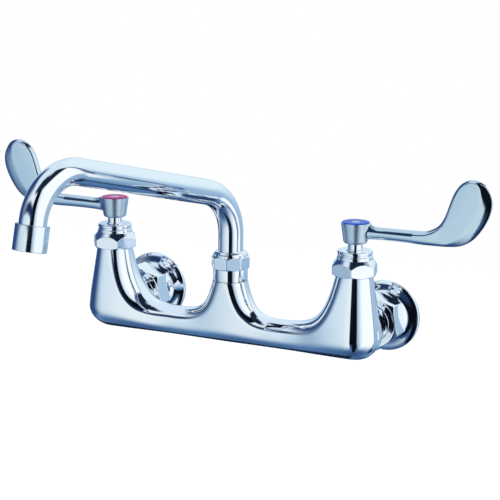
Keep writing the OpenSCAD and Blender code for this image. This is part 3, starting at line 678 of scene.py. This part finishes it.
HUB_H = 15.6
HUB_TOP_R = 10.8
HUB_LOW_R = 8.9
HUB_FOOT_R = 8.7
HUB_FOOT_H = 2.2
HUB_ROUNDING = 2.8
HUB_SPARE = 2.5
HUB_BLEND = 2.6
ARM_T = 7.6
ARM_MID = 9.3
ARM_ROUNDING = 4.6
BLADE_T = 5.8
UPPER_EDGE = [
    (4, 16), (11, 15.3), (17, 13.7), (26, 13.8), (40, 13.9), (52, 14.3), (58.5, 16.2), (64, 20),
    (67.9, 26.8), (70.8, 35.4), (74, 43.8), (78.6, 50.3), (84, 53.6), (89, 54.2)]
LOWER_EDGE = [
    (4, 4), (11, 4.2), (17, 4.6), (26, 4.8), (40, 4.7), (52, 4.4), (61, 4.5), (71, 4.8),
    (80.5, 6.4), (89.5, 11.8), (97.4, 22), (101.9, 32.4), (102.3, 41.4), (98.5, 49.4), (94, 53)]
blade_outline = curve_through(UPPER_EDGE + LOWER_EDGE[::-1], 4)
# Ranges of x over which the arm turns into the blade
THINNING = (44, 78)
BLADE_BEGINS = (58, 78)
CROWN_BEGINS = (56, 70)
SHOULDER_ENDS = (44, 66)
# A flat along the arm's upper shoulders
SHOULDER = math.radians(21.5)
SHOULDER_OUT = 3.66
SHOULDER_FADE = 30
SHOULDER_SOFT = 0.3
# The blade's crown is highest, and its rim starts to widen, along slanting lines across it
SLANT = (0.9, -0.43)
SLANT_FROM = (85, 28)
CREST = -3
CROWN_IN = 0.0045
CROWN_OUT = 0.001
RIM = 3.2
RIM_WIDER = 12.2
RIM_WIDENS = (-6, 8)
RIM_AT_EDGE = 0.88
RIM_POWER = 2.2
RIM_SOFT = 0.5
HANDLE_LOW = (-HUB_TOP_R - 2, -HUB_TOP_R - 2, -1.5)
HANDLE_HIGH = (105.5, HUB_TOP_R + 2, 57)
HANDLE_CELL = 0.6
# The hub's flat top, in which the index ring and its cap sit
SEAT_DEPTH = 1
INDEX_R = 9.75
INDEX_HOLE_R = 3.5
INDEX_UP = 0.7
CAP_R = 3.4
CAP_UP = 0.75


def outline_distance(x, z):
    """Distance to the blade's outline, negative inside."""
    a = blade_outline
    b = np.roll(a, -1, axis=0)
    best = np.full(len(x), 1e9)
    inside = np.zeros(len(x), bool)
    for (ax, az), (bx, bz) in zip(a, b):
        ex, ez = bx - ax, bz - az
        wx, wz = x - ax, z - az
        t = np.clip((wx * ex + wz * ez) / max(ex * ex + ez * ez, 1e-12), 0, 1)
        best = np.minimum(best, (wx - t * ex) ** 2 + (wz - t * ez) ** 2)
        if az != bz:
            crosses = ((az > z) != (bz > z)) & (x < ax + (z - az) * ex / ez)
            inside ^= crosses
    return np.where(inside, -1, 1) * np.sqrt(best)


def blade_field(p):
    """The oval arm, which turns into a crowned blade that thins towards its rim."""
    x, y, z = p[:, 0], p[:, 1], p[:, 2]
    outward = SLANT[0] * (x - SLANT_FROM[0]) + SLANT[1] * (z - SLANT_FROM[1])
    crown = np.where(outward < CREST, CROWN_IN, CROWN_OUT)
    y = y - crown * (outward - CREST) ** 2 * smoothstep(x, *CROWN_BEGINS)
    rim = RIM + RIM_WIDER * smoothstep(outward, *RIM_WIDENS)
    half = ARM_T / 2 + (BLADE_T - ARM_T) / 2 * smoothstep(x, *THINNING)
    far = outline_distance(x, z)
    arm = (np.sqrt((y / half) ** 2 + np.maximum(1 + far / ARM_ROUNDING, 0) ** 2) - 1) * half
    thinner = np.maximum(RIM_AT_EDGE + far / rim, 0) ** RIM_POWER
    blade = np.sqrt(y ** 2 + RIM_SOFT) - BLADE_T / 2 * (1 - thinner)
    lens = arm + (blade - arm) * smoothstep(x, *BLADE_BEGINS)
    flat = np.abs(y) * math.cos(SHOULDER) + (z - ARM_MID) * math.sin(SHOULDER) - SHOULDER_OUT
    return smooth_max(lens, flat - SHOULDER_FADE * smoothstep(x, *SHOULDER_ENDS), SHOULDER_SOFT)


def hub_field(p):
    out, z = np.hypot(p[:, 0], p[:, 1]), p[:, 2]
    side = out - np.interp(z, [0, HUB_FOOT_H, HUB_H], [HUB_FOOT_R, HUB_LOW_R, HUB_TOP_R])
    return np.maximum(smooth_max(side, -z, HUB_ROUNDING), z - HUB_H - HUB_SPARE)


def handle_field(p):
    return smooth_min(hub_field(p), blade_field(p), HUB_BLEND)


def cut(piece, cutter):
    """Takes the cutter away from the piece."""
    change = piece.modifiers.new("cut", "BOOLEAN")
    change.operation = "DIFFERENCE"
    change.solver = "EXACT"
    change.object = cutter
    graph = bpy.context.evaluated_depsgraph_get()
    data = bpy.data.meshes.new_from_object(piece.evaluated_get(graph))
    piece.modifiers.clear()
    old = piece.data
    piece.data = data
    bpy.data.meshes.remove(old)
    bpy.data.objects.remove(cutter)


def blade_handle(side, points, faces):
    """The handle from the mesh of handle_field, with the seat of the index ring cut into it."""
    points = points + np.array([0, 0, hub_z])
    if side == "hot":
        points[:, 0] *= -1
        faces = faces[:, ::-1]
    place = over_valve(side)
    piece = mesh_piece(side + "_wrist_blade", place(points), faces)
    top, seat_r, past = hub_z + HUB_H, INDEX_R + 0.1, HUB_TOP_R + 7
    cutter = lathe("cutter", [
        (0, top - SEAT_DEPTH), (seat_r, top - SEAT_DEPTH), (seat_r, top), (past, top + 0.02),
        (past, top + 5), (0, top + 5)], place, radius=0.1)
    cut(piece, cutter)
    return finish_solid(piece, HANDLE_CREASE)


def index_ring(side):
    seat, top = hub_z + HUB_H - SEAT_DEPTH, hub_z + HUB_H + INDEX_UP
    outline = [(INDEX_HOLE_R, seat), (INDEX_R, seat), (INDEX_R, top), (INDEX_HOLE_R, top)]
    return lathe(side + "_index_band", outline, over_valve(side), radius=0.35)


def index_cap(side):
    seat, top = hub_z + HUB_H - SEAT_DEPTH, hub_z + HUB_H + CAP_UP
    outline = [(0, seat), (CAP_R, seat), (CAP_R, top - 0.15), (1.6, top + 0.05), (0, top + 0.1)]
    return lathe(side + "_index_button", outline, over_valve(side), radius=0.25)


def stem_sleeve(side):
    """The part of the stem that shows between the bonnet and the hub."""
    low, high = bonnet_top - 6, hub_z + 1.5
    outline = [(0, low), (STEM_R, low), (STEM_R, high), (0, high)]
    return lathe(side + "_spindle", outline, over_valve(side), radius=0.2)


def plain_ring():
    """The ring between the casting and the spout nut."""
    outline = [
        (RING_BORE_R, OUTLET_TOP), (RING_R, OUTLET_TOP), (RING_R, nut_foot),
        (RING_BORE_R, nut_foot)]
    return lathe("swivel_ring", outline, upright(0, -axis_out), radius=0.35)


# Materials

class Wiring:
    """Short names for building a shader out of sums."""

    def __init__(self, tree):
        self.nodes, self.links = tree.nodes, tree.links

    def put(self, value, socket):
        if isinstance(value, (int, float, tuple)):
            socket.default_value = value
        else:
            self.links.new(value, socket)

    def math(self, operation, a, b=0.0):
        node = self.nodes.new("ShaderNodeMath")
        node.operation = operation
        self.put(a, node.inputs[0])
        self.put(b, node.inputs[1])
        return node.outputs[0]

    def split(self, vector):
        node = self.nodes.new("ShaderNodeSeparateXYZ")
        self.put(vector, node.inputs[0])
        return node.outputs

    def step(self, value, start, end):
        """0 before start, 1 after end, smooth between."""
        node = self.nodes.new("ShaderNodeMapRange")
        node.interpolation_type = "SMOOTHSTEP"
        self.put(value, node.inputs["Value"])
        node.inputs["From Min"].default_value = start
        node.inputs["From Max"].default_value = end
        return node.outputs["Result"]

    def window(self, value, edges, soft):
        """1 between the two edges, and 0 outside; soft is the width of each edge's fade."""
        (low, high), (low_soft, high_soft) = edges, soft
        rise = self.step(value, low - low_soft / 2, low + low_soft / 2)
        fall = self.step(value, high - high_soft / 2, high + high_soft / 2)
        return self.math("MULTIPLY", rise, self.math("SUBTRACT", 1.0, fall))

    def blend(self, factor, under, over):
        node = self.nodes.new("ShaderNodeMix")
        node.data_type = "RGBA"
        self.put(factor, node.inputs["Factor"])
        self.put(under, node.inputs["A"])
        self.put(over, node.inputs["B"])
        return node.outputs["Result"]


# The handles' hubs are brushed: rougher within this distance of a stem's axis
BRUSHED_TO = 10.4
BRUSHED_FADE = 12.5
BRUSHED = 0.34
CHROME_GRAIN = 90.0
PLAIN_GRAIN = 200.0
PLAIN_BUMP = 0.1
# In metres
PLAIN_BUMP_HEIGHT = 0.0002
DARKER = 0.85
LIGHTER = 1.1


def principled(name):
    """A new material, the wiring of its nodes and its shader."""
    material = bpy.data.materials.new(name)
    material.use_nodes = True
    wire = Wiring(material.node_tree)
    return material, wire, wire.nodes["Principled BSDF"]


def brush_hubs(wire, place, roughness):
    """The larger of the roughness and that of the brushed hubs."""
    x, y, _ = wire.split(place)
    flat = wire.nodes.new("ShaderNodeCombineXYZ")
    wire.put(wire.math("ABSOLUTE", x), flat.inputs["X"])
    wire.put(y, flat.inputs["Y"])
    away = wire.nodes.new("ShaderNodeVectorMath")
    away.operation = "DISTANCE"
    wire.put(flat.outputs[0], away.inputs[0])
    away.inputs[1].default_value = (centres / 2 * MM, -axis_out * MM, 0)
    hub = wire.nodes.new("ShaderNodeMapRange")
    hub.inputs["From Min"].default_value = BRUSHED_FADE * MM
    hub.inputs["From Max"].default_value = BRUSHED_TO * MM
    hub.inputs["To Max"].default_value = BRUSHED
    wire.put(away.outputs["Value"], hub.inputs["Value"])
    return wire.math("MAXIMUM", hub.outputs["Result"], roughness)


def chrome(name, colour, low=0.02, high=0.06, brushed=False):
    """Plated metal whose roughness drifts between low and high."""
    material, wire, shader = principled(name)
    shader.inputs["Base Color"].default_value = (*colour, 1)
    shader.inputs["Metallic"].default_value = 1.0
    place = wire.nodes.new("ShaderNodeTexCoord").outputs["Object"]
    noise = wire.nodes.new("ShaderNodeTexNoise")
    noise.inputs["Scale"].default_value = CHROME_GRAIN
    noise.inputs["Detail"].default_value = 4.0
    spread = wire.nodes.new("ShaderNodeMapRange")
    spread.inputs["To Min"].default_value = low
    spread.inputs["To Max"].default_value = high
    wire.put(place, noise.inputs["Vector"])
    wire.put(noise.outputs["Fac"], spread.inputs["Value"])
    rough = spread.outputs["Result"]
    if brushed:
        rough = brush_hubs(wire, place, rough)
    wire.put(rough, shader.inputs["Roughness"])
    return material


def plain(name, colour, metallic, roughness, gloss=0.5):
    """A material with a fine grain in its colour and surface."""
    material, wire, shader = principled(name)
    shader.inputs["Specular IOR Level"].default_value = gloss
    shader.inputs["Metallic"].default_value = metallic
    shader.inputs["Roughness"].default_value = roughness
    place = wire.nodes.new("ShaderNodeTexCoord")
    noise = wire.nodes.new("ShaderNodeTexNoise")
    noise.inputs["Scale"].default_value = PLAIN_GRAIN
    ramp = wire.nodes.new("ShaderNodeValToRGB")
    ramp.color_ramp.elements[0].color = (*[c * DARKER for c in colour], 1)
    ramp.color_ramp.elements[1].color = (*[min(c * LIGHTER, 1) for c in colour], 1)
    bump = wire.nodes.new("ShaderNodeBump")
    bump.inputs["Strength"].default_value = PLAIN_BUMP
    bump.inputs["Distance"].default_value = PLAIN_BUMP_HEIGHT
    wire.put(place.outputs["Object"], noise.inputs["Vector"])
    wire.put(noise.outputs["Fac"], ramp.inputs["Fac"])
    wire.put(ramp.outputs["Color"], shader.inputs["Base Color"])
    wire.put(noise.outputs["Fac"], bump.inputs["Height"])
    wire.put(bump.outputs["Normal"], shader.inputs["Normal"])
    return material


CHROME = (0.86, 0.90, 0.95)
looks = {
    "chrome": chrome("polished chrome", CHROME),
    "cast": chrome("cast chrome", CHROME),
    "satin": chrome("satin chrome", (0.58, 0.70, 0.80), 0.06, 0.11, brushed=True),
    "turned": chrome("turned chrome", (0.80, 0.86, 0.92), 0.08, 0.14),
    "brass": plain("machined brass", (0.62, 0.47, 0.20), 1.0, 0.28),
    "rubber": plain("black rubber", (0.02, 0.02, 0.022), 0.0, 0.6),
    "ceramic": plain("white ceramic", (0.82, 0.82, 0.78), 0.0, 0.2),
    "steel": plain("stainless steel", (0.60, 0.62, 0.65), 1.0, 0.3),
    "hot_index": plain("red index", (0.50, 0.005, 0.22), 0.0, 0.3, gloss=0.15),
    "cold_index": plain("blue index", (0.005, 0.10, 0.70), 0.0, 0.3, gloss=0.15),
}


def dress(piece, look, body, node):
    """Gives a piece its look and the body it rides on, and hides the CAD node it stands in for."""
    piece.data.materials.clear()
    piece.data.materials.append(looks[look])
    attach(piece, body)
    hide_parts(node)


dress(body_casting(), "cast", "root", "body_casting")
dress(plain_ring(), "chrome", "root", "outlet_adapter")
dress(spout_nut(), "chrome", "root", "spout_nut")
dress(spout_tube(), "chrome", "spout", "spout_tube")
dress(outlet_sleeve(), "turned", "spout", "outlet_sleeve")
handle_points, handle_faces, _ = level_mesh(handle_field, HANDLE_LOW, HANDLE_HIGH, HANDLE_CELL)
for side in ("hot", "cold"):
    body = side + "_handle"
    dress(bonnet(side), "chrome", "root", side + "_bonnet")
    dress(coupling_nut(side), "chrome", "root", side + "_coupling_nut")
    dress(wall_flange(side), "chrome", "root", side + "_wall_flange")
    dress(blade_handle(side, handle_points, handle_faces), "satin", body,
          side + "_blade_handle")
    dress(index_ring(side), side + "_index", body, side + "_index_ring")
    dress(index_cap(side), "steel", body, side + "_index_cap")
    dress(stem_sleeve(side), "chrome", body, side + "_stem")

slot_of = {s["node"]: s["material_slot"] for s in frame["record"]["subparts"]}
for node, thing in frame["nodes"].items():
    look = looks[slot_of[node] if slot_of[node] in looks else "chrome"]
    if not thing.data.materials:
        thing.data.materials.append(look)
    for k in range(len(thing.data.materials)):
        thing.data.materials[k] = look


# Stage: white surroundings, and soft studio light whose dark gaps the chrome mirrors

# The floor's height and half its width, in metres
FLOOR_Z = -0.9
FLOOR_HALF = 4.0
FLOOR_COLOUR = (0.9, 0.9, 0.9, 1)
FLOOR_ROUGHNESS = 0.8
FLOOR_LIFT = 0.3
WHITE = (1, 1, 1, 1)
# What rough surfaces are lit by
EVEN_LIGHT = (0.85, 0.87, 0.90, 1)

# What the chrome mirrors, by height: degrees above level, then the colour
SKY = [
    (-90, (0.03, 0.07, 0.16)), (-67, (0.06, 0.13, 0.28)), (-52, (0.10, 0.22, 0.42)),
    (-30, (0.27, 0.43, 0.62)), (-8, (0.38, 0.56, 0.73)), (8, (0.52, 0.70, 0.88)),
    (26, (0.74, 0.87, 0.98)), (50, (0.76, 0.87, 1.0)), (90, (0.76, 0.87, 1.0)),
]
DARK = (0.003, 0.004, 0.008)
# Lamps and gaps, each over the ones before it. Both pairs of edges are in degrees, to the
# right of the front and above level, and each is followed by the widths of its fades.
STUDIO = [
    ("back wall", (104, 186), (10, 8), (10, 62), (28, 12), (0.84, 0.96, 1.0)),
    ("left lamp", (-62, -17), (90, 5), (-46, 52), (44, 8), (0.88, 0.96, 0.97)),
    ("left gap", (-150, -90), (12, 44), (-40, 50), (24, 12), (0.03, 0.07, 0.20)),
    ("right lamp", (28, 96), (26, 2), (-44, 50), (40, 6), (1.08, 1.1, 1.1)),
    ("front gap", (-18, 14), (4, 8), (-26, 84), (14, 10), DARK),
    ("front foot gap", (-7, 14), (6, 8), (-75, -20), (12, 10), DARK),
    ("ceiling gap", (-50, 98), (24, 6), (50, 80), (8, 14), (0.01, 0.02, 0.04)),
    ("right gap", (96.5, 99.5), (1.5, 3), (-10, 52), (10, 8), (0.06, 0.10, 0.20)),
    ("back shadow", (108, 142), (8, 10), (-52, -38), (6, 6), (0.02, 0.05, 0.12)),
    ("under shadow", (-200, -150), (4, 24), (-76, -12), (14, 10), (0.01, 0.02, 0.05)),
]
# A blue gap below the faucet, under all the others. Its first edges aren't degrees: they are
# the part of the direction that points right.
FOOT_GAP = ("foot gap", (-0.30, 0.25), (0.07, 0.14), (-60, -22), (20, 10), (0.05, 0.11, 0.25))
# A dark line over the left lamp, over all the others. Its height is measured from an arc that
# sinks away from its highest point.
ARC = ("lamp edge", (-88, -8), (56, 12), (-9, 9), (10, 10), (0.015, 0.04, 0.11))
ARC_TOP = (-50, 27)
ARC_FALL = 0.008


def make_world():
    world = bpy.data.worlds.new("studio")
    bpy.context.scene.world = world
    world.use_nodes = True
    world.node_tree.nodes.clear()
    wire = Wiring(world.node_tree)
    x, y, z = wire.split(wire.nodes.new("ShaderNodeTexCoord").outputs["Generated"])
    sin, cos = math.sin(AZIMUTH), math.cos(AZIMUTH)
    front = wire.math("SUBTRACT", wire.math("MULTIPLY", x, sin), wire.math("MULTIPLY", y, cos))
    right = wire.math("ADD", wire.math("MULTIPLY", x, cos), wire.math("MULTIPLY", y, sin))
    around = wire.math("DEGREES", wire.math("ARCTAN2", right, front))
    height = wire.math("DEGREES", wire.math("ARCSINE", z))
    off_top = wire.math("SUBTRACT", around, ARC_TOP[0])
    fall = wire.math("MULTIPLY", wire.math("MULTIPLY", off_top, off_top), ARC_FALL)
    above_arc = wire.math("ADD", wire.math("SUBTRACT", height, ARC_TOP[1]), fall)

    ramp = wire.nodes.new("ShaderNodeValToRGB")
    stops = ramp.color_ramp.elements
    while len(stops) < len(SKY):
        stops.new(0.5)
    for stop, (degrees, colour) in zip(stops, SKY):
        stop.position = (degrees + 90) / 180
        stop.color = (*colour, 1)
    wire.put(wire.math("DIVIDE", wire.math("ADD", height, 90.0), 180.0), ramp.inputs["Fac"])
    light = ramp.outputs["Color"]
    for band in [FOOT_GAP] + STUDIO + [ARC]:
        _, sides, side_soft, heights, height_soft, colour = band
        sideways = wire.window(right if band is FOOT_GAP else around, sides, side_soft)
        upward = wire.window(above_arc if band is ARC else height, heights, height_soft)
        light = wire.blend(wire.math("MULTIPLY", sideways, upward), light, (*colour, 1))

    rays = wire.nodes.new("ShaderNodeLightPath").outputs
    mirrored = wire.math("MAXIMUM", rays["Is Glossy Ray"], rays["Is Transmission Ray"])
    seen = wire.blend(mirrored, EVEN_LIGHT, light)
    seen = wire.blend(rays["Is Camera Ray"], seen, WHITE)
    sky = wire.nodes.new("ShaderNodeBackground")
    out = wire.nodes.new("ShaderNodeOutputWorld")
    wire.put(seen, sky.inputs["Color"])
    wire.put(sky.outputs["Background"], out.inputs["Surface"])


def make_floor():
    """A pale floor far below the faucet, white where it isn't shaded."""
    corners = [(-1, -1), (1, -1), (1, 1), (-1, 1)]
    points = [(x * FLOOR_HALF, y * FLOOR_HALF, FLOOR_Z) for x, y in corners]
    data = bpy.data.meshes.new("floor")
    data.from_pydata(points, [], [(0, 1, 2, 3)])
    floor = bpy.data.objects.new("floor", data)
    bpy.context.scene.collection.objects.link(floor)
    material, wire, shader = principled("pale floor")
    shader.inputs["Base Color"].default_value = FLOOR_COLOUR
    shader.inputs["Roughness"].default_value = FLOOR_ROUGHNESS
    shader.inputs["Emission Color"].default_value = WHITE
    rays = wire.nodes.new("ShaderNodeLightPath").outputs
    wire.put(wire.math("MULTIPLY", rays["Is Camera Ray"], FLOOR_LIFT),
             shader.inputs["Emission Strength"])
    data.materials.append(material)
    # The chrome mirrors the studio below the faucet, not this floor
    floor.visible_glossy = False


make_world()
make_floor()
bpy.context.scene.view_settings.view_transform = "Standard"
